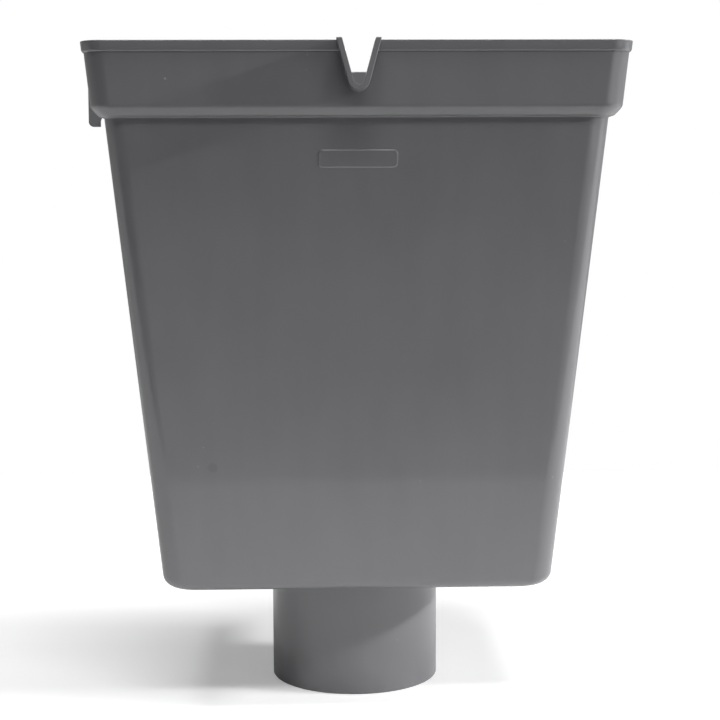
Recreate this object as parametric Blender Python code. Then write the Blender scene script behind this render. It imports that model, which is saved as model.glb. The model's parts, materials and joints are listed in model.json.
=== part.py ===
"""Rainwater hopper head for an 80 mm downpipe, moulded in grey PVC as one piece.

A box that tapers down from a stepped collar, flat at the back where it lies against the wall. Water
falls in at the open top and leaves through the round spigot in the floor. The V-shaped spout in the
front of the rim lets it spill clear of the wall if the pipe is blocked. Two ears at the back hang on
screws.

Metres, +Z up, front towards -Y. The origin is on the wall face, on the centre line, level with the
centres of the arches at the top of the two screw slots.
"""

import math

import bmesh
import bpy

MM = 0.001

# Rim and collar. Depths run down from the rim, and widths are outside sizes.
RIM_WIDTH = 230.5 * MM
RIM_TO_WALL = 171.0 * MM
BEAD_HEIGHT = 4.5 * MM
BEAD_PROUD = 0.8 * MM
COLLAR_HEIGHT = 31.5 * MM
COLLAR_STEP = 4.6 * MM
COLLAR_EDGE = 4.2 * MM
COLLAR_ROOT = 1.0 * MM
UNDERSIDE_FALL = math.radians(28)
COLLAR_DRAFT = math.radians(5.5)

# Body. Its quarter-round edge runs all the way round the floor.
BODY_HEIGHT = 240.5 * MM
SIDE_DRAFT = math.radians(5.34)
FRONT_DRAFT = math.radians(7.6)
FRONT_CORNER = 9.5 * MM
BACK_CORNER = 3.0 * MM
BACK_CORNER_INSIDE = 1.0 * MM
FLOOR_EDGE = 7.0 * MM
WALL = 2.5 * MM
FLOOR = 3.0 * MM

# Spigot, which goes into the socket of the downpipe below.
SPIGOT_DIAMETER = 80.0 * MM
SPIGOT_WALL = 3.0 * MM
SPIGOT_LENGTH = 56.0 * MM
SPIGOT_TO_WALL = 67.5 * MM
SPIGOT_ROOT = 2.5 * MM
SPIGOT_END_EDGE = 0.8 * MM
INLET_EDGE = 2.0 * MM

# Overflow spout: a V with a round bottom. Its mouth is measured inside, at the rim.
SPOUT_REACH = 10.5 * MM
SPOUT_MOUTH = 13.9 * MM
SPOUT_HALF_ANGLE = math.radians(15.2)
SPOUT_BOTTOM_RADIUS = 2.35 * MM
SPOUT_WALL = 2.25 * MM

# Fixing ears in the plane of the back, each with a screw slot that is open below. Their reach is from
# the side of the rim.
EAR_REACH = 18.75 * MM
EAR_TOP_DROP = 4.5 * MM
EAR_BOTTOM_DROP = 27.8 * MM
EAR_THICKNESS = 3.0 * MM
EAR_CORNER = 2.5 * MM
SLOT_WIDTH = 8.0 * MM
SLOT_OUTER_LEG = 6.0 * MM
SLOT_DROP = 25.4 * MM

# How far a blank reaches into the wall that it joins, and a cutter past the face that it opens.
SEAT = 1.2 * MM
CUT_ROOM = 5.0 * MM

# Facets in a quarter turn of each round form, and in the full turn of the spigot.
CORNER_STEPS = 8
BEAD_STEPS = 3
STEP_STEPS = 6
FLOOR_EDGE_STEPS = 7
SMALL_STEPS = 4
SPIGOT_STEPS = 96
SMOOTH_BELOW = math.radians(28)
LEVEL_WITHIN = math.radians(0.01)
WELD = 0.001 * MM

RIM_Z = SLOT_DROP
FLOOR_Z = RIM_Z - BODY_HEIGHT
EAR_EDGE = RIM_WIDTH / 2 + EAR_REACH


def arc(centre, radius, start, turn, steps):
    """Points along an arc in its own plane, both ends included. Angles in degrees."""
    angles = [math.radians(start + turn * i / steps) for i in range(steps + 1)]
    return [(centre[0] + radius * math.cos(a), centre[1] + radius * math.sin(a)) for a in angles]


def taper(depth, draft):
    """How far a drafted face has come in from the rim, at a depth below it."""
    collar_part = math.tan(COLLAR_DRAFT) * min(depth, COLLAR_HEIGHT)
    return collar_part + math.tan(draft) * max(depth - COLLAR_HEIGHT, 0.0)


def quarter_round(start, radius, reach, steps, back=0.0, turns_back=False):
    """Levels down a quarter-round: (depth, how far in from the rim's faces, how far in from the back)."""
    levels = []
    for i in range(steps + 1):
        angle = math.radians(90.0 * i / steps)
        inward = radius * (1 - math.cos(angle))
        levels.append((start + radius * math.sin(angle), reach + inward, back + inward * turns_back))
    return levels


def collar_underside(offset):
    """Levels round the collar's lower edge, down its sloping underside and into the body's side.

    The offset is how far inside the outer skin they lie.
    """
    turn = math.pi / 2 - UNDERSIDE_FALL
    slope = COLLAR_STEP - (COLLAR_EDGE + COLLAR_ROOT) * (1 - math.cos(turn))
    drop = (COLLAR_EDGE + COLLAR_ROOT) * math.sin(turn) + slope * math.tan(UNDERSIDE_FALL)
    edge = COLLAR_EDGE - offset
    root = COLLAR_ROOT + offset
    collar_reach = BEAD_PROUD + offset
    body_reach = collar_reach + COLLAR_STEP
    levels = []
    for i in range(STEP_STEPS + 1):
        angle = turn * i / STEP_STEPS
        depth = COLLAR_HEIGHT - drop + edge * math.sin(angle)
        levels.append((depth, collar_reach + edge * (1 - math.cos(angle)), offset))
    for i in range(STEP_STEPS, -1, -1):
        angle = turn * i / STEP_STEPS
        depth = COLLAR_HEIGHT - root * math.sin(angle)
        levels.append((depth, body_reach - root * (1 - math.cos(angle)), offset))
    return levels


def plan_outline(half_width, front, back, front_radius, back_radius):
    """A rectangle in plan with rounded corners, anticlockwise from its front right corner."""
    corners = (
        (half_width - front_radius, front + front_radius, front_radius, -90),
        (half_width - back_radius, back - back_radius, back_radius, 0),
        (back_radius - half_width, back - back_radius, back_radius, 90),
        (front_radius - half_width, front + front_radius, front_radius, 180),
    )
    points = []
    for x, y, radius, start in corners:
        points += arc((x, y), radius, start, 90, CORNER_STEPS)
    return points


def close(bm):
    """Welds the doubled points of a blank, joins its level faces and turns them all outwards."""
    bmesh.ops.remove_doubles(bm, verts=bm.verts, dist=WELD)
    bmesh.ops.dissolve_limit(bm, angle_limit=LEVEL_WITHIN, verts=bm.verts, edges=bm.edges)
    bmesh.ops.recalc_face_normals(bm, faces=bm.faces)
    return bm


def loft(levels, front_radius, back_radius):
    """A solid through the plan outlines at these levels, grown from the rim down."""
    bm = bmesh.new()
    ring = []
    for depth, reach, back in levels:
        half_width = RIM_WIDTH / 2 - reach - taper(depth, SIDE_DRAFT)
        front = -(RIM_TO_WALL - reach - taper(depth, FRONT_DRAFT))
        outline = plan_outline(half_width, front, -back, front_radius, back_radius)
        places = [(x, y, RIM_Z - depth) for x, y in outline]
        if ring:
            ring = grow(bm, ring, places)
        else:
            ring = [bm.verts.new(place) for place in places]
            bm.faces.new(ring)
    bm.faces.new(ring)
    return close(bm)


def grow(bm, ring, places):
    """Extrudes a closed ring of vertices and moves the new ring to these places."""
    edges = [bm.edges.get(pair) for pair in zip(ring, ring[1:] + ring[:1])]
    extruded = bmesh.ops.extrude_edge_only(bm, edges=edges)["geom"]
    fresh = {item for item in extruded if isinstance(item, bmesh.types.BMVert)}
    grown = []
    for old, place in zip(ring, places):
        linked = [edge.other_vert(old) for edge in old.link_edges]
        vert = next(other for other in linked if other in fresh)
        vert.co = place
        grown.append(vert)
    return grown


def turned(profile):
    """A solid of revolution about the spigot's axis. The profile is (radius, z), from axis to axis."""
    bm = bmesh.new()
    verts = [bm.verts.new((radius, -SPIGOT_TO_WALL, z)) for radius, z in profile]
    edges = [bm.edges.new(pair) for pair in zip(verts, verts[1:])]
    bmesh.ops.spin(
        bm,
        geom=verts + edges,
        cent=(0, -SPIGOT_TO_WALL, 0),
        axis=(0, 0, 1),
        angle=math.tau,
        steps=SPIGOT_STEPS,
        use_merge=True,
    )
    return close(bm)


def prism(outline, back, front):
    """An outline in (x, z), extruded from y = back to y = front."""
    bm = bmesh.new()
    face = bm.faces.new([bm.verts.new((x, back, z)) for x, z in outline])
    extruded = bmesh.ops.extrude_face_region(bm, geom=[face])["geom"]
    moved = [item for item in extruded if isinstance(item, bmesh.types.BMVert)]
    bmesh.ops.translate(bm, verts=moved, vec=(0, front - back, 0))
    return close(bm)


def outer_blank():
    """The outside of the collar and body, as a full block."""
    body_reach = BEAD_PROUD + COLLAR_STEP
    levels = [(0.0, 0.0, 0.0)]
    levels += quarter_round(BEAD_HEIGHT - BEAD_PROUD, BEAD_PROUD, 0.0, BEAD_STEPS)
    levels += collar_underside(0.0)
    levels += quarter_round(
        BODY_HEIGHT - FLOOR_EDGE, FLOOR_EDGE, body_reach, FLOOR_EDGE_STEPS, turns_back=True
    )
    return loft(levels, FRONT_CORNER, BACK_CORNER)


def cavity():
    """The room inside, one wall in from the outside, with a sloping ledge behind the collar's step."""
    collar_reach = BEAD_PROUD + WALL
    body_reach = collar_reach + COLLAR_STEP
    floor_radius = FLOOR_EDGE - WALL
    levels = [(-CUT_ROOM, collar_reach, WALL)]
    levels += collar_underside(WALL)
    levels += quarter_round(
        BODY_HEIGHT - FLOOR - floor_radius, floor_radius, body_reach, FLOOR_EDGE_STEPS, WALL, True
    )
    return loft(levels, FRONT_CORNER - WALL, BACK_CORNER_INSIDE)


def spigot_blank():
    """The spigot's outside, rounded into the floor above it and at its lower end."""
    radius = SPIGOT_DIAMETER / 2
    root = (radius + SPIGOT_ROOT, FLOOR_Z - SPIGOT_ROOT)
    end = (radius - SPIGOT_END_EDGE, FLOOR_Z - SPIGOT_LENGTH + SPIGOT_END_EDGE)
    profile = [(0.0, FLOOR_Z + SEAT), (radius + SPIGOT_ROOT, FLOOR_Z + SEAT)]
    profile += arc(root, SPIGOT_ROOT, 90, 90, SMALL_STEPS)
    profile += arc(end, SPIGOT_END_EDGE, 0, -90, SMALL_STEPS)
    profile.append((0.0, FLOOR_Z - SPIGOT_LENGTH))
    return turned(profile)


def bore():
    """The waterway through the floor and the spigot, with a rounded inlet."""
    radius = SPIGOT_DIAMETER / 2 - SPIGOT_WALL
    floor_top = FLOOR_Z + FLOOR
    inlet = (radius + INLET_EDGE, floor_top - INLET_EDGE)
    profile = [(0.0, floor_top + CUT_ROOM), (radius + INLET_EDGE, floor_top + CUT_ROOM)]
    profile += arc(inlet, INLET_EDGE, 90, 90, SMALL_STEPS)
    profile += [(radius, FLOOR_Z - SPIGOT_LENGTH - CUT_ROOM), (0.0, FLOOR_Z - SPIGOT_LENGTH - CUT_ROOM)]
    return turned(profile)


def spout_outline(grown, top):
    """The V of the channel seen from the front, grown outwards by a wall, up to a height."""
    radius = SPOUT_BOTTOM_RADIUS + grown
    slope = math.tan(SPOUT_HALF_ANGLE)
    sharp_tip = RIM_Z - SPOUT_MOUTH / 2 / slope
    centre = (0.0, sharp_tip + SPOUT_BOTTOM_RADIUS / math.sin(SPOUT_HALF_ANGLE))
    half_width = SPOUT_MOUTH / 2 + grown / math.cos(SPOUT_HALF_ANGLE) + (top - RIM_Z) * slope
    lean = math.degrees(SPOUT_HALF_ANGLE)
    bottom = arc(centre, radius, 180 + lean, 180 - 2 * lean, 2 * STEP_STEPS)
    return [(-half_width, top)] + bottom + [(half_width, top)]


def spout_blank():
    """The spout as a solid block, from its lip back through the collar's front wall."""
    lip = -(RIM_TO_WALL + SPOUT_REACH)
    inside = -(RIM_TO_WALL - BEAD_PROUD - WALL - taper(COLLAR_HEIGHT, FRONT_DRAFT)) + SEAT
    return prism(spout_outline(SPOUT_WALL, RIM_Z), inside, lip)


def channel():
    """The V-shaped way through the collar's front wall and along the spout."""
    lip = -(RIM_TO_WALL + SPOUT_REACH + CUT_ROOM)
    inside = -(RIM_TO_WALL - BEAD_PROUD - WALL - taper(COLLAR_HEIGHT, FRONT_DRAFT)) + CUT_ROOM
    return prism(spout_outline(0.0, RIM_Z + CUT_ROOM), inside, lip)


def ear_blank(side):
    """One ear's plate, from inside the collar's side wall out to its rounded outer corners."""
    inner = RIM_WIDTH / 2 - BEAD_PROUD - WALL - taper(EAR_BOTTOM_DROP, SIDE_DRAFT)
    top = RIM_Z - EAR_TOP_DROP
    bottom = RIM_Z - EAR_BOTTOM_DROP
    outline = [(inner, bottom)]
    outline += arc((EAR_EDGE - EAR_CORNER, bottom + EAR_CORNER), EAR_CORNER, -90, 90, SMALL_STEPS)
    outline += arc((EAR_EDGE - EAR_CORNER, top - EAR_CORNER), EAR_CORNER, 0, 90, SMALL_STEPS)
    outline.append((inner, top))
    return prism([(side * x, z) for x, z in outline], 0.0, -EAR_THICKNESS)


def slot(side):
    """One screw slot, round at the top and open below."""
    radius = SLOT_WIDTH / 2
    centre = EAR_EDGE - SLOT_OUTER_LEG - radius
    below = RIM_Z - EAR_BOTTOM_DROP - CUT_ROOM
    outline = [(centre + radius, below)]
    outline += arc((centre, RIM_Z - SLOT_DROP), radius, 0, 180, 2 * STEP_STEPS)
    outline.append((centre - radius, below))
    return prism([(side * x, z) for x, z in outline], CUT_ROOM, -EAR_THICKNESS - CUT_ROOM)


def new_object(name, bm, collection):
    mesh = bpy.data.meshes.new(name)
    bm.to_mesh(mesh)
    bm.free()
    mesh.shade_smooth()
    mesh.set_sharp_from_angle(angle=SMOOTH_BELOW)
    obj = bpy.data.objects.new(name, mesh)
    collection.objects.link(obj)
    return obj


def combine(target, operation, name, shapes):
    """Adds a group of blanks to the moulding, or cuts a group of cutters from it, and hides them."""
    group = bpy.data.collections.new(name)
    bpy.context.scene.collection.children.link(group)
    for shape_name, bm in shapes.items():
        shape = new_object(shape_name, bm, group)
        shape.hide_render = True
        shape.display_type = "WIRE"
    modifier = target.modifiers.new(name, "BOOLEAN")
    modifier.operation = operation
    modifier.solver = "EXACT"
    modifier.operand_type = "COLLECTION"
    modifier.collection = group


def grey_pvc():
    """Unplasticised PVC with a moulded, slightly glossy surface."""
    material = bpy.data.materials.new("grey_pvc")
    material.use_nodes = True
    shader = material.node_tree.nodes["Principled BSDF"]
    shader.inputs["Base Color"].default_value = (0.138, 0.137, 0.141, 1.0)
    shader.inputs["Roughness"].default_value = 0.4
    shader.inputs["Metallic"].default_value = 0.0
    return material


def main():
    for obj in list(bpy.data.objects):
        bpy.data.objects.remove(obj, do_unlink=True)
    hopper = new_object("hopper_head", outer_blank(), bpy.context.scene.collection)
    hopper.data.materials.append(grey_pvc())
    blanks = {
        "spigot_blank": spigot_blank(),
        "spout_blank": spout_blank(),
        "ear_blank_left": ear_blank(-1),
        "ear_blank_right": ear_blank(1),
    }
    cutters = {
        "cavity_cutter": cavity(),
        "bore_cutter": bore(),
        "channel_cutter": channel(),
        "slot_cutter_left": slot(-1),
        "slot_cutter_right": slot(1),
    }
    combine(hopper, "UNION", "blanks", blanks)
    combine(hopper, "DIFFERENCE", "cutters", cutters)


main()
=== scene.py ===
"""Looks of a rainwater hopper head, moulded in grey PVC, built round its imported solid.

The moulding is made again here with finer rounds, small edge radii and a moulded surface. Metres, +Z up,
front towards -Y, wall face at y = 0.
"""

import json
import math

import bmesh
import bpy
from mathutils import Matrix, Vector

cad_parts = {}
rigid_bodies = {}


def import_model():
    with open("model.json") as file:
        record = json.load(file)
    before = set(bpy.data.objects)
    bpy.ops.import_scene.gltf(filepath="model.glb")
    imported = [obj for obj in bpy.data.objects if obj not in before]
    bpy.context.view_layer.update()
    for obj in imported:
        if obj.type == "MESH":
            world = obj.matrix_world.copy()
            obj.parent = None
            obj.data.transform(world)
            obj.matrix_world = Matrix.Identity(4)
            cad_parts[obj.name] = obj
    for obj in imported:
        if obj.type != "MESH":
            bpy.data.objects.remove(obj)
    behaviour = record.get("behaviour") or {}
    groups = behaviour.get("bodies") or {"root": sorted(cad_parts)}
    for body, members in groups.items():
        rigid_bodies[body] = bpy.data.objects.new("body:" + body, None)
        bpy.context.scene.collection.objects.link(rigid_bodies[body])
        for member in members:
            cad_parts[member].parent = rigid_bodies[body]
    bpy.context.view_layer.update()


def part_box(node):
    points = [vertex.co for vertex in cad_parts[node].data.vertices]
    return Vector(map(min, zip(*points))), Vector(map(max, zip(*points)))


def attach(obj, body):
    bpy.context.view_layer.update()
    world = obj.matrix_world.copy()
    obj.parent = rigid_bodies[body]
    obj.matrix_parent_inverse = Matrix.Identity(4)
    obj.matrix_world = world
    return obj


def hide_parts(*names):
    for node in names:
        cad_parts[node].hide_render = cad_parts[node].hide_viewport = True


MM = 0.001

# The moulding, as in the solid, but for the rim's bead, which is 0.1 mm higher here. Depths run down from
# the rim, and reaches run inwards from the rim's faces.
RIM_WIDTH = 230.5 * MM
RIM_TO_WALL = 171.0 * MM
BEAD_HEIGHT = 4.6 * MM
BEAD_PROUD = 0.8 * MM
COLLAR_HEIGHT = 31.5 * MM
COLLAR_STEP = 4.6 * MM
COLLAR_EDGE = 4.2 * MM
COLLAR_ROOT = 1.0 * MM
UNDERSIDE_FALL = math.radians(28)
COLLAR_DRAFT = math.radians(5.5)
BODY_HEIGHT = 240.5 * MM
SIDE_DRAFT = math.radians(5.34)
FRONT_DRAFT = math.radians(7.6)
FRONT_CORNER = 9.5 * MM
BACK_CORNER = 3.0 * MM
BACK_CORNER_INSIDE = 1.0 * MM
FLOOR_EDGE = 7.0 * MM
WALL = 2.5 * MM
FLOOR = 3.0 * MM
SPIGOT_DIAMETER = 80.0 * MM
SPIGOT_WALL = 3.0 * MM
SPIGOT_TO_WALL = 67.5 * MM
SPIGOT_ROOT = 2.5 * MM
SPIGOT_END_EDGE = 0.8 * MM
INLET_EDGE = 2.0 * MM
SPOUT_MOUTH = 13.9 * MM
SPOUT_HALF_ANGLE = math.radians(15.2)
SPOUT_BOTTOM_RADIUS = 2.35 * MM
SPOUT_WALL = 2.25 * MM
EAR_TOP_DROP = 4.5 * MM
EAR_BOTTOM_DROP = 27.8 * MM
EAR_THICKNESS = 3.0 * MM
EAR_CORNER = 2.5 * MM
SLOT_WIDTH = 8.0 * MM
SLOT_OUTER_LEG = 6.0 * MM

# Fine work that only the looks carry. The bead has a chamfer below, which takes in a share of what the bead
# stands proud, and then a short foot. The collar's lower edge has three bends, each from one tilt to
# another, in degrees, and with its radius.
STEEP = math.radians(45)
MOULD_EDGE = 0.35 * MM
SPOUT_INNER_EDGE = 0.12 * MM
EDGE_STEPS = 4
BEAD_CHAMFER = 0.85 * MM
BEAD_SHARE = 0.58
BEAD_FOOT = 0.1 * MM
LIP_BENDS = ((0, 31, 3.2 * MM), (31, 42, 17.5 * MM), (42, 72, 1.0 * MM))
LIP_ROOT = 0.5 * MM

# The blank pad where the mould takes its insert.
MARK_WIDTH = 34.4 * MM
MARK_HEIGHT = 8.3 * MM
MARK_CORNER = 2.0 * MM
MARK_DEPTH = 48.4 * MM
MARK_RELIEF = 0.3 * MM
MARK_SLOPE = 0.8 * MM

# Marks of use in the photograph: how far right of the middle and below the rim, and their radius.
CHIP = (-79.7 * MM, 15.6 * MM, 0.6 * MM)
STAIN = (-63.9 * MM, 182.6 * MM, 2.6 * MM)

# How deep the spout and the spigot reach into the body before they are joined, how far a cutter goes past
# what it cuts, and how near two points count as one.
SEAT = 1.2 * MM
CUT_ROOM = 5.0 * MM
WELD = 0.001 * MM

# Steps round a body corner, a larger round, a small round and the spigot.
CORNER_STEPS = 14
ROUND_STEPS = 10
SMALL_STEPS = 5
SPIGOT_STEPS = 160

# The camera: 720 x 720 frame, where it stood and how it was turned, in degrees.
CAMERA_PLACE = (-0.01963, -0.84067, -0.04)
CAMERA_LENS = 80.28
CAMERA_YAW = 1.69
CAMERA_PITCH = 5.72
CAMERA_ROLL = 0.242

# How much brighter than its own colour the paper floor looks to the camera, so that it clears to white: a
# little near the hopper, and more far from it, where less light falls. Then these two distances, in metres.
LIFT_NEAR, LIFT_FAR = 0.3, 0.8
NEAR, FAR = 0.35, 1.1

# How much of that lift, and of the white behind the paper's far edge, the hopper's reflections show.
MIRRORED = 0.3

# The paper's front and back edge, as y, and how far it goes to each side.
FLOOR_FRONT = -0.371
FLOOR_BACK = 0.5
FLOOR_HALF_WIDTH = 2.5

# The light: the even light of the room, and soft area lamps that face one point. Each lamp stands at (angle
# round to the right of the front, height angle, distance), in degrees and metres; then its size and power.
ROOM_LIGHT = 0.1
LAMPS_AIM = (0.0, -0.1, -0.12)
LAMPS = (
    ("far_window", (80.2, 20, 4.3), (1.05, 0.22), 167.0),
    ("strip_above_front", (8, 53, 1.75), (0.95, 0.2), 11.3),
    ("overhead", (0, 80, 1.1), (0.9, 0.3), 9.6),
    ("side_right", (95, 38, 1.1), (0.5, 0.5), 2.8),
    ("fill_right", (45, 5, 1.1), (0.5, 0.5), 0.8),
    ("fill_low", (0, -20, 1.1), (1.5, 0.3), 0.41),
)


def linear(hex_code, alpha=1.0):
    """An sRGB hex colour as the linear values that Blender's sockets take."""
    channels = [int(hex_code[i : i + 2], 16) / 255 for i in (1, 3, 5)]
    return tuple(c / 12.92 if c <= 0.04045 else ((c + 0.055) / 1.055) ** 2.4 for c in channels) + (alpha,)


def add(tree, kind, inputs=None, **settings):
    """Adds a node, with its settings, and fills or links its inputs by name or number."""
    made = tree.nodes.new("ShaderNode" + kind)
    for name, value in settings.items():
        setattr(made, name, value)
    for name, value in (inputs or {}).items():
        if isinstance(value, bpy.types.NodeSocket):
            tree.links.new(value, made.inputs[name])
        else:
            made.inputs[name].default_value = value
    return made


def taper(depth, draft):
    """How far a drafted face has come in from the rim, at a depth below it."""
    collar_part = math.tan(COLLAR_DRAFT) * min(depth, COLLAR_HEIGHT)
    return collar_part + math.tan(draft) * max(depth - COLLAR_HEIGHT, 0.0)


def floor_round(start, radius, reach, back):
    """Levels down the rounded edge of the floor, outside or inside.

    A level is (depth, how far in from the rim's faces, how far in from the back).
    """
    levels = []
    for i in range(ROUND_STEPS + 1):
        angle = math.radians(90.0 * i / ROUND_STEPS)
        inward = radius * (1 - math.cos(angle))
        levels.append((start + radius * math.sin(angle), reach + inward, back + inward))
    return levels


def underside_inside():
    """Levels down the inside of the collar's lower edge, its sloping underside and into the body's side.

    They follow the solid's outer skin, one wall's thickness inside it.
    """
    turn = math.pi / 2 - UNDERSIDE_FALL
    slope = COLLAR_STEP - (COLLAR_EDGE + COLLAR_ROOT) * (1 - math.cos(turn))
    drop = (COLLAR_EDGE + COLLAR_ROOT) * math.sin(turn) + slope * math.tan(UNDERSIDE_FALL)
    edge = COLLAR_EDGE - WALL
    root = COLLAR_ROOT + WALL
    collar_reach = BEAD_PROUD + WALL
    body_reach = collar_reach + COLLAR_STEP
    levels = []
    for i in range(ROUND_STEPS + 1):
        angle = turn * i / ROUND_STEPS
        depth = COLLAR_HEIGHT - drop + edge * math.sin(angle)
        levels.append((depth, collar_reach + edge * (1 - math.cos(angle)), WALL))
    for i in range(ROUND_STEPS, -1, -1):
        angle = turn * i / ROUND_STEPS
        depth = COLLAR_HEIGHT - root * math.sin(angle)
        levels.append((depth, body_reach - root * (1 - math.cos(angle)), WALL))
    return levels


def collar_lip():
    """Levels down the outside of the collar's lower edge, which is up to 0.5 mm fuller than the solid's.

    It has three bends, the straight underside that falls to the body, and the root.
    """
    points = [(0.0, 0.0)]

    def bend(begin, end, radius):
        depth, reach = points[-1]
        for i in range(1, ROUND_STEPS + 1):
            angle = begin + (end - begin) * i / ROUND_STEPS
            down = radius * abs(math.sin(angle) - math.sin(begin))
            points.append((depth + down, reach + radius * abs(math.cos(angle) - math.cos(begin))))

    for begin, end, radius in LIP_BENDS:
        bend(math.radians(begin), math.radians(end), radius)
    turn = math.radians(LIP_BENDS[-1][1])
    depth, reach = points[-1]
    inward = COLLAR_STEP - reach - LIP_ROOT * (1 - math.cos(turn))
    points.append((depth + inward / math.tan(turn), reach + inward))
    bend(turn, 0.0, LIP_ROOT)
    start = COLLAR_HEIGHT - points[-1][0]
    return [(start + depth, BEAD_PROUD + reach, 0.0) for depth, reach in points]


def tidy(bm):
    """Merges doubled points, joins level faces and turns all faces outwards."""
    bmesh.ops.remove_doubles(bm, verts=bm.verts, dist=WELD)
    bmesh.ops.dissolve_limit(bm, angle_limit=math.radians(0.01), verts=bm.verts, edges=bm.edges)
    bmesh.ops.recalc_face_normals(bm, faces=bm.faces)
    return bm


def box_shape(levels, rim_z, front_radius, back_radius):
    """A drafted box with rounded upright corners: one plan outline, extruded from level to level."""
    bm = bmesh.new()
    sides = []
    for depth, reach, back in levels:
        half_width = RIM_WIDTH / 2 - reach - taper(depth, SIDE_DRAFT)
        front = -(RIM_TO_WALL - reach - taper(depth, FRONT_DRAFT))
        sides.append((half_width, front, -back, rim_z - depth))
    half_width, front, back, z = sides[0]
    corners = ((half_width, front), (half_width, back), (-half_width, back), (-half_width, front))
    verts = [bm.verts.new((x, y, z)) for x, y in corners]
    bm.faces.new(verts)
    round_corners(bm, [verts[0], verts[3]], front_radius)
    round_corners(bm, [vert for vert in bm.verts if vert.co.y == back], back_radius)
    middle = (front + back) / 2
    ring = list(bm.edges)
    for before, after in zip(sides, sides[1:]):
        extruded = bmesh.ops.extrude_edge_only(bm, edges=ring)["geom"]
        moved = {item for item in extruded if isinstance(item, bmesh.types.BMVert)}
        for vert in moved:
            across = (after[0] - before[0]) * math.copysign(1, vert.co.x)
            along = after[1] - before[1] if vert.co.y < middle else after[2] - before[2]
            vert.co += Vector((across, along, after[3] - before[3]))
        edges = [item for item in extruded if isinstance(item, bmesh.types.BMEdge)]
        ring = [edge for edge in edges if moved.issuperset(edge.verts)]
    bmesh.ops.contextual_create(bm, geom=ring)
    return tidy(bm)


def round_corners(bm, verts, radius):
    """Rounds the right-angled corners of a flat outline."""
    bmesh.ops.bevel(
        bm,
        geom=verts,
        offset=radius,
        affect="VERTICES",
        segments=CORNER_STEPS,
        profile=0.5,
        material=-1,
    )


def outer_shape(rim_z):
    """The outside of the rim bead, collar and body, as a full block."""
    body_reach = BEAD_PROUD + COLLAR_STEP
    levels = [
        (0.0, 0.0, 0.0),
        (BEAD_HEIGHT - BEAD_CHAMFER, 0.0, 0.0),
        (BEAD_HEIGHT - BEAD_FOOT, BEAD_SHARE * BEAD_PROUD, 0.0),
        (BEAD_HEIGHT, BEAD_PROUD, 0.0),
    ]
    levels += collar_lip()
    levels += floor_round(BODY_HEIGHT - FLOOR_EDGE, FLOOR_EDGE, body_reach, 0.0)
    return box_shape(levels, rim_z, FRONT_CORNER, BACK_CORNER)


def room_inside(rim_z):
    """The room inside the walls, with the ledge behind the collar's step."""
    collar_reach = BEAD_PROUD + WALL
    body_reach = collar_reach + COLLAR_STEP
    floor_radius = FLOOR_EDGE - WALL
    levels = [(-CUT_ROOM, collar_reach, WALL)]
    levels += underside_inside()
    levels += floor_round(BODY_HEIGHT - FLOOR - floor_radius, floor_radius, body_reach, WALL)
    return box_shape(levels, rim_z, FRONT_CORNER - WALL, BACK_CORNER_INSIDE)


def turned(profile):
    """A profile of (radius, z), from axis to axis, spun round the spigot's axis."""
    bm = bmesh.new()
    verts = [bm.verts.new((radius, -SPIGOT_TO_WALL, z)) for radius, z in profile]
    edges = [bm.edges.new(pair) for pair in zip(verts, verts[1:])]
    bmesh.ops.spin(
        bm,
        geom=verts + edges,
        cent=(0, -SPIGOT_TO_WALL, 0),
        axis=(0, 0, 1),
        angle=math.tau,
        steps=SPIGOT_STEPS,
        use_merge=True,
    )
    return tidy(bm)


def arc(centre, radius, start, turn, steps):
    """Points along an arc of a profile, both ends included. Angles in degrees."""
    angles = [math.radians(start + turn * i / steps) for i in range(steps + 1)]
    return [(centre[0] + radius * math.cos(a), centre[1] + radius * math.sin(a)) for a in angles]


def spigot_shape(floor_z, end_z):
    """The outside of the spigot, with the round where it leaves the floor."""
    radius = SPIGOT_DIAMETER / 2
    profile = [(0.0, floor_z + SEAT), (radius + SPIGOT_ROOT, floor_z + SEAT)]
    profile += arc((radius + SPIGOT_ROOT, floor_z - SPIGOT_ROOT), SPIGOT_ROOT, 90, 90, SMALL_STEPS)
    profile += arc((radius - SPIGOT_END_EDGE, end_z + SPIGOT_END_EDGE), SPIGOT_END_EDGE, 0, -90, SMALL_STEPS)
    profile.append((0.0, end_z))
    return turned(profile)


def waterway(floor_z, end_z):
    """The bore through the floor and the spigot, with its rounded inlet."""
    radius = SPIGOT_DIAMETER / 2 - SPIGOT_WALL
    floor_top = floor_z + FLOOR
    profile = [(0.0, floor_top + CUT_ROOM), (radius + INLET_EDGE, floor_top + CUT_ROOM)]
    profile += arc((radius + INLET_EDGE, floor_top - INLET_EDGE), INLET_EDGE, 90, 90, SMALL_STEPS)
    profile += [(radius, end_z - CUT_ROOM), (0.0, end_z - CUT_ROOM)]
    return turned(profile)


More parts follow.
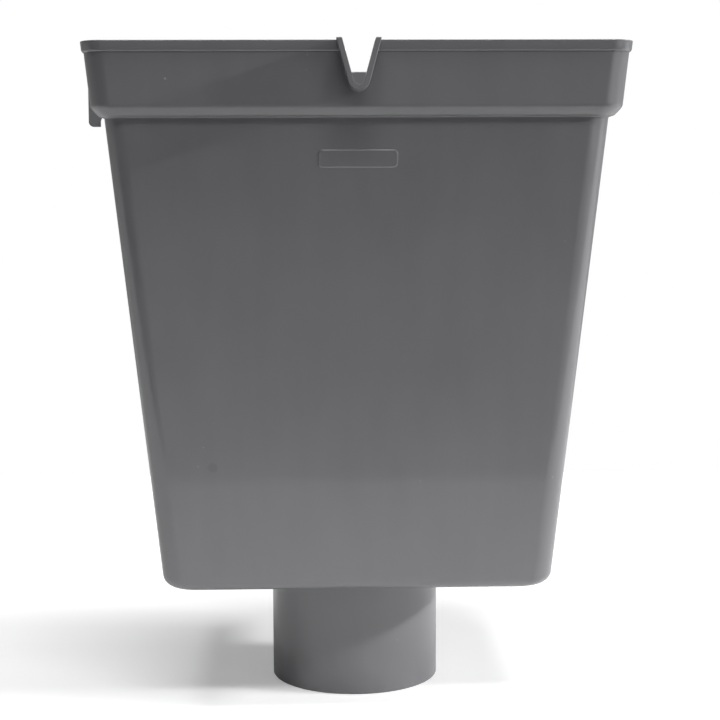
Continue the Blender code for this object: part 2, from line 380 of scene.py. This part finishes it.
def vee(grown, rim_z, top_z, inside_y, lip_y):
    """The V of the spout, grown by a wall: its round bottom is spun, and its sides rise to the top."""
    bm = bmesh.new()
    radius = SPOUT_BOTTOM_RADIUS + grown
    slope = math.tan(SPOUT_HALF_ANGLE)
    sharp_tip = rim_z - SPOUT_MOUTH / 2 / slope
    middle = Vector((0, inside_y, sharp_tip + SPOUT_BOTTOM_RADIUS / math.sin(SPOUT_HALF_ANGLE)))
    start = middle + radius * Vector((-math.cos(SPOUT_HALF_ANGLE), 0, -math.sin(SPOUT_HALF_ANGLE)))
    turn = math.pi - 2 * SPOUT_HALF_ANGLE
    bmesh.ops.spin(
        bm,
        geom=[bm.verts.new(start)],
        cent=middle,
        axis=(0, -1, 0),
        angle=turn,
        steps=2 * ROUND_STEPS,
    )
    half_width = SPOUT_MOUTH / 2 + grown / math.cos(SPOUT_HALF_ANGLE) + (top_z - rim_z) * slope
    ends = [vert for vert in bm.verts if len(vert.link_edges) == 1]
    tops = [bm.verts.new((math.copysign(half_width, end.co.x), inside_y, top_z)) for end in ends]
    for end, top in zip(ends, tops):
        bm.edges.new((end, top))
    bm.edges.new(tops)
    bmesh.ops.contextual_create(bm, geom=bm.edges)
    extruded = bmesh.ops.extrude_face_region(bm, geom=bm.faces)["geom"]
    moved = [item for item in extruded if isinstance(item, bmesh.types.BMVert)]
    bmesh.ops.translate(bm, verts=moved, vec=(0, lip_y - inside_y, 0))
    return tidy(bm)


def plate(low, high):
    """A plain block between two opposite corners."""
    bm = bmesh.new()
    bmesh.ops.create_cube(bm, size=1.0)
    low, high = Vector(low), Vector(high)
    bmesh.ops.scale(bm, verts=bm.verts, vec=high - low)
    bmesh.ops.translate(bm, verts=bm.verts, vec=(low + high) / 2)
    return bm


def round_edges(bm, edges, radius, steps):
    bmesh.ops.bevel(
        bm, geom=edges, offset=radius, affect="EDGES", segments=steps, profile=0.5, material=-1
    )
    return tidy(bm)


def along_y(bm, chosen):
    """The edges that run from front to back and whose middle is one of the chosen places."""
    found = []
    for edge in bm.edges:
        start, end = (vert.co for vert in edge.verts)
        if abs(start.x - end.x) < WELD and abs(start.z - end.z) < WELD and chosen((start + end) / 2):
            found.append(edge)
    return found


def ear_shape(side, rim_z, ear_edge):
    """One fixing ear, with its two outer corners rounded."""
    inner = RIM_WIDTH / 2 - BEAD_PROUD - WALL - taper(EAR_BOTTOM_DROP, SIDE_DRAFT)
    ends = sorted((side * inner, side * ear_edge))
    bm = plate((ends[0], -EAR_THICKNESS, rim_z - EAR_BOTTOM_DROP), (ends[1], 0, rim_z - EAR_TOP_DROP))
    outer = along_y(bm, lambda place: abs(place.x) > ear_edge - WELD)
    return round_edges(bm, outer, EAR_CORNER, SMALL_STEPS)


def slot_shape(side, rim_z, ear_edge):
    """One screw slot, round at the top and open below."""
    outer = ear_edge - SLOT_OUTER_LEG
    ends = sorted((side * (outer - SLOT_WIDTH), side * outer))
    low = (ends[0], -EAR_THICKNESS - CUT_ROOM, rim_z - EAR_BOTTOM_DROP - CUT_ROOM)
    bm = plate(low, (ends[1], CUT_ROOM, SLOT_WIDTH / 2))
    top = along_y(bm, lambda place: place.z > 0)
    return round_edges(bm, top, SLOT_WIDTH / 2 - WELD, ROUND_STEPS)


def mark_pad(rim_z):
    """The blank raised pad on the body's front, where a mould takes its insert, with sloping edges."""
    reach = BEAD_PROUD + COLLAR_STEP + taper(MARK_DEPTH, FRONT_DRAFT)
    face_y = -(RIM_TO_WALL - reach)
    half_width, half_height = MARK_WIDTH / 2, MARK_HEIGHT / 2
    sunk = face_y + MARK_RELIEF / 2
    bm = plate((-half_width, face_y - MARK_RELIEF, -half_height), (half_width, sunk, half_height))
    bm = round_edges(bm, along_y(bm, lambda place: True), MARK_CORNER, ROUND_STEPS)
    front = [vert for vert in bm.verts if vert.co.y < face_y]
    narrower = Vector((1 - MARK_SLOPE / half_width, 1.0, 1 - MARK_SLOPE / half_height))
    bmesh.ops.scale(bm, verts=front, vec=narrower)
    lean = Matrix.Rotation(FRONT_DRAFT, 4, "X")
    bmesh.ops.rotate(bm, verts=bm.verts, cent=(0, face_y, 0), matrix=lean)
    bmesh.ops.translate(bm, verts=bm.verts, vec=(0, 0, rim_z - MARK_DEPTH))
    return bm


def crease(mesh, rim_z):
    """Keeps crisp the steep edges that are left, and the edges of the blank pad's slopes."""
    mesh.set_sharp_from_angle(angle=STEEP)
    middle = rim_z - MARK_DEPTH
    for edge in mesh.edges:
        ends = [mesh.vertices[i].co for i in edge.vertices]
        within = [abs(end.x) < MARK_WIDTH / 2 and abs(end.z - middle) < MARK_HEIGHT / 2 for end in ends]
        if all(within) and max(end.y for end in ends) < -SPIGOT_TO_WALL:
            edge.use_edge_sharp = True


def soften(bm, radius, chosen):
    """Gives a small radius to the steep edges that are chosen."""
    bm.normal_update()
    edges = [edge for edge in bm.edges if edge.calc_face_angle(0.0) > STEEP and chosen(edge)]
    bmesh.ops.bevel(
        bm, geom=edges, offset=radius, affect="EDGES", segments=EDGE_STEPS, profile=0.5, material=-1
    )


def soften_moulding(mesh, rim_z, lip_y):
    """Small radii on the rim, the ears and the spout's lip, and smaller ones inside the lip's V."""
    bm = bmesh.new()
    bm.from_mesh(mesh)
    past_rim = RIM_WIDTH / 2 + EAR_THICKNESS
    upward = math.sin(SPOUT_HALF_ANGLE) / 2

    def on_lip(edge):
        return all(abs(vert.co.y - lip_y) < WELD for vert in edge.verts)

    def outer(edge):
        on_rim = all(abs(vert.co.z - rim_z) < WELD for vert in edge.verts)
        on_ear = all(abs(vert.co.x) > past_rim for vert in edge.verts)
        inside_vee = any(face.normal.z > upward for face in edge.link_faces)
        return on_rim or on_ear or (on_lip(edge) and not inside_vee)

    soften(bm, MOULD_EDGE, outer)
    soften(bm, SPOUT_INNER_EDGE, on_lip)
    bm.to_mesh(mesh)
    bm.free()


def new_object(name, bm):
    mesh = bpy.data.meshes.new(name)
    bm.to_mesh(mesh)
    bm.free()
    obj = bpy.data.objects.new(name, mesh)
    bpy.context.scene.collection.objects.link(obj)
    return obj


def combine(target, operation, shapes):
    """Joins shapes to the target's mesh, or cuts them from it, and clears them away."""
    group = bpy.data.collections.new(operation)
    helpers = [new_object("helper", bm) for bm in shapes]
    for helper in helpers:
        group.objects.link(helper)
    modifier = target.modifiers.new(operation, "BOOLEAN")
    modifier.operation = operation
    modifier.solver = "EXACT"
    modifier.operand_type = "COLLECTION"
    modifier.collection = group
    graph = bpy.context.evaluated_depsgraph_get()
    mesh = bpy.data.meshes.new_from_object(target.evaluated_get(graph))
    target.modifiers.clear()
    target.data = mesh
    for helper in helpers:
        bpy.data.objects.remove(helper)
    bpy.data.collections.remove(group)


def moulding():
    """The whole hopper head as one moulding, with small radii on the edges that show."""
    low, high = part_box("hopper_head")
    rim_z, end_z = high.z, low.z
    ear_edge, lip_y = high.x, low.y
    floor_z = rim_z - BODY_HEIGHT
    inner_front = -(RIM_TO_WALL - BEAD_PROUD - WALL - taper(COLLAR_HEIGHT, FRONT_DRAFT))
    hopper = new_object("hopper_moulding", outer_shape(rim_z))
    combine(
        hopper,
        "UNION",
        [
            spigot_shape(floor_z, end_z),
            vee(SPOUT_WALL, rim_z, rim_z, inner_front + SEAT, lip_y),
            ear_shape(-1, rim_z, ear_edge),
            ear_shape(1, rim_z, ear_edge),
            mark_pad(rim_z),
        ],
    )
    combine(
        hopper,
        "DIFFERENCE",
        [
            room_inside(rim_z),
            waterway(floor_z, end_z),
            vee(0.0, rim_z, rim_z + CUT_ROOM, inner_front + CUT_ROOM, lip_y - CUT_ROOM),
            slot_shape(-1, rim_z, ear_edge),
            slot_shape(1, rim_z, ear_edge),
        ],
    )
    soften_moulding(hopper.data, rim_z, lip_y)
    hopper.data.shade_smooth()
    crease(hopper.data, rim_z)
    level = hopper.modifiers.new("level faces", "WEIGHTED_NORMAL")
    level.mode = "FACE_AREA"
    level.keep_sharp = True
    level.weight = 80
    hopper.data.materials.clear()
    hopper.data.materials.append(moulded_grey_pvc(rim_z))
    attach(hopper, "root")
    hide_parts("hopper_head")


def on_the_front(mark, rim_z):
    """The place on the collar's or the body's front face of a mark."""
    across, depth, _ = mark
    step = COLLAR_STEP if depth > COLLAR_HEIGHT else 0.0
    return (across, -(RIM_TO_WALL - BEAD_PROUD - step - taper(depth, FRONT_DRAFT)), rim_z - depth)


def spot(tree, place, centre, radius):
    """1 within a round mark, falling to 0 at its radius."""
    away = add(tree, "VectorMath", {0: place, 1: centre}, operation="DISTANCE").outputs["Value"]
    return add(tree, "MapRange", {"Value": away, "From Min": radius, "From Max": 0.6 * radius}).outputs[0]


def tint(tree, share, under, over):
    """One colour laid over another by a share."""
    return add(tree, "Mix", {0: share, 6: under, 7: over}, data_type="RGBA").outputs[2]


def moulded_grey_pvc(rim_z):
    """Unplasticised PVC, injection moulded: an even mid grey, semi-gloss, off a lightly textured mould."""
    material = bpy.data.materials.new("moulded_grey_pvc")
    material.use_nodes = True
    tree = material.node_tree
    shader = tree.nodes["Principled BSDF"]
    place = add(tree, "TexCoord").outputs["Object"]

    # Pigment that clouds a little over 40 mm, and flow lines that run down from the rim.
    cloud = add(tree, "TexNoise", {"Vector": place, "Scale": 1 / (40 * MM), "Detail": 3.0})
    stretch = add(tree, "Mapping", {"Vector": place, "Scale": (1.0, 1.0, 0.12)})
    flow = add(tree, "TexNoise", {"Vector": stretch.outputs[0], "Scale": 1 / (9 * MM), "Detail": 4.0})
    blend = add(tree, "Math", {0: cloud.outputs[0], 1: flow.outputs[0]}, operation="ADD")
    tone = add(tree, "MapRange", {"Value": blend.outputs[0], "From Min": 0.7, "From Max": 1.3})
    grey = tint(tree, tone.outputs[0], linear("#67676a"), linear("#6b6b6e"))

    # Dust: pale specks up to a millimetre wide, some 14 mm apart, with more than half of them left out.
    dust = add(tree, "TexVoronoi", {"Vector": place, "Scale": 1 / (14 * MM)})
    speck = add(tree, "MapRange", {"Value": dust.outputs["Distance"], "From Min": 0.045, "From Max": 0.02})
    pick = add(tree, "Math", {0: dust.outputs["Color"], 1: 0.55}, operation="GREATER_THAN")
    share = add(tree, "Math", {0: speck.outputs[0], 1: pick.outputs[0]}, operation="MULTIPLY")
    dusty = tint(tree, share.outputs[0], grey, linear("#76767a"))

    # The pale chip on the collar and the dull round stain low on the front.
    chip = spot(tree, place, on_the_front(CHIP, rim_z), CHIP[2])
    stain = spot(tree, place, on_the_front(STAIN, rim_z), STAIN[2])
    stained = tint(tree, stain, dusty, linear("#626265"))
    marked = tint(tree, chip, stained, linear("#8e8e90"))
    tree.links.new(marked, shader.inputs["Base Color"])

    # The mould's fine texture, 0.3 mm in reality, drawn at 0.8 mm so that it shows.
    grain = add(tree, "TexNoise", {"Vector": place, "Scale": 1 / (0.8 * MM), "Detail": 2.0})
    gloss = add(
        tree,
        "MapRange",
        {"Value": blend.outputs[0], "From Min": 0.7, "From Max": 1.3, "To Min": 0.36, "To Max": 0.44},
    )
    tree.links.new(gloss.outputs[0], shader.inputs["Roughness"])
    bump = add(tree, "Bump", {"Height": grain.outputs[0], "Strength": 0.25, "Distance": 0.05 * MM})
    tree.links.new(bump.outputs[0], shader.inputs["Normal"])
    shader.inputs["IOR"].default_value = 1.53
    shader.inputs["Coat Weight"].default_value = 0.5
    shader.inputs["Coat Roughness"].default_value = 0.08
    shader.inputs["Coat IOR"].default_value = 1.5
    return material


def camera():
    made = bpy.data.objects.new("camera", bpy.data.cameras.new("camera"))
    bpy.context.scene.collection.objects.link(made)
    made.data.lens = CAMERA_LENS
    made.data.sensor_width = 36.0
    made.location = CAMERA_PLACE
    turn = Matrix.Rotation(math.radians(-CAMERA_YAW), 4, "Z")
    tip = Matrix.Rotation(math.radians(90 - CAMERA_PITCH), 4, "X")
    roll = Matrix.Rotation(math.radians(-CAMERA_ROLL), 4, "Z")
    made.rotation_euler = (turn @ tip @ roll).to_euler()
    bpy.context.scene.camera = made


def softbox(name, stand, size, power):
    """A flat area lamp that faces the lamps' aim."""
    lamp = bpy.data.lights.new(name, "AREA")
    lamp.shape = "RECTANGLE"
    lamp.size, lamp.size_y = size
    lamp.energy = power
    turn, rise = math.radians(stand[0]), math.radians(stand[1])
    away = Vector((math.sin(turn) * math.cos(rise), -math.cos(turn) * math.cos(rise), math.sin(rise)))
    made = bpy.data.objects.new(name, lamp)
    made.location = Vector(LAMPS_AIM) + stand[2] * away
    made.rotation_euler = away.to_track_quat("Z", "Y").to_euler()
    bpy.context.scene.collection.objects.link(made)


def seen_rays(tree, mirrored):
    """1 for rays from the camera and through clear things, and a share of that for reflections."""
    path = add(tree, "LightPath")
    glossy = add(tree, "Math", {0: path.outputs["Is Glossy Ray"], 1: mirrored}, operation="MULTIPLY")
    clear = path.outputs["Is Transmission Ray"]
    seen = add(tree, "Math", {0: path.outputs["Is Camera Ray"], 1: clear}, operation="MAXIMUM")
    return add(tree, "Math", {0: seen.outputs[0], 1: glossy.outputs[0]}, operation="MAXIMUM").outputs[0]


def pale_floor(z):
    """White matt paper that the hopper stands on. Its front edge is just below the camera's view."""
    bm = bmesh.new()
    bmesh.ops.create_grid(bm, x_segments=1, y_segments=1, size=1.0)
    bmesh.ops.scale(bm, verts=bm.verts, vec=(FLOOR_HALF_WIDTH, (FLOOR_BACK - FLOOR_FRONT) / 2, 1.0))
    bmesh.ops.translate(bm, verts=bm.verts, vec=(0, (FLOOR_BACK + FLOOR_FRONT) / 2, z))
    floor = new_object("studio_floor", bm)
    material = bpy.data.materials.new("matt_white_paper")
    material.use_nodes = True
    tree = material.node_tree
    shader = tree.nodes["Principled BSDF"]
    shader.inputs["Base Color"].default_value = linear("#f4f4f4")
    shader.inputs["Roughness"].default_value = 0.9
    shader.inputs["Emission Color"].default_value = linear("#ffffff")
    place = add(tree, "TexCoord").outputs["Object"]
    away = add(tree, "VectorMath", {0: place, 1: (0.0, LAMPS_AIM[1], z)}, operation="DISTANCE")
    lifts = {"From Min": NEAR, "From Max": FAR, "To Min": LIFT_NEAR, "To Max": LIFT_FAR}
    rising = add(tree, "MapRange", {"Value": away.outputs["Value"], **lifts})
    lift = add(tree, "Math", {0: seen_rays(tree, MIRRORED), 1: rising.outputs[0]}, operation="MULTIPLY")
    tree.links.new(lift.outputs[0], shader.inputs["Emission Strength"])
    floor.data.materials.append(material)


def white_room():
    """A room that looks white behind the hopper, and lights it evenly and softly from all round.

    The hopper's reflections see that white too, by their share, but only from the side behind the hopper.
    """
    world = bpy.data.worlds.new("studio")
    bpy.context.scene.world = world
    world.use_nodes = True
    tree = world.node_tree
    tree.nodes.clear()
    sides = add(tree, "SeparateXYZ", {0: add(tree, "TexCoord").outputs["Generated"]})
    turned_back = {"Value": sides.outputs[1], "From Min": -0.2, "From Max": 0.3}
    behind = add(tree, "MapRange", {**turned_back, "To Max": MIRRORED})
    light = add(tree, "Background", {"Color": linear("#ffffff"), "Strength": ROOM_LIGHT})
    white = add(tree, "Background", {"Color": linear("#ffffff"), "Strength": 1.0})
    seen = seen_rays(tree, behind.outputs[0])
    mixed = add(tree, "MixShader", {0: seen, 1: light.outputs[0], 2: white.outputs[0]})
    add(tree, "OutputWorld", {"Surface": mixed.outputs[0]})


def main():
    for obj in list(bpy.data.objects):
        bpy.data.objects.remove(obj, do_unlink=True)
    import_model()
    moulding()
    pale_floor(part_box("hopper_head")[0].z)
    white_room()
    for name, stand, size, power in LAMPS:
        softbox(name, stand, size, power)
    camera()
    bpy.context.scene.view_settings.view_transform = "Standard"


main()
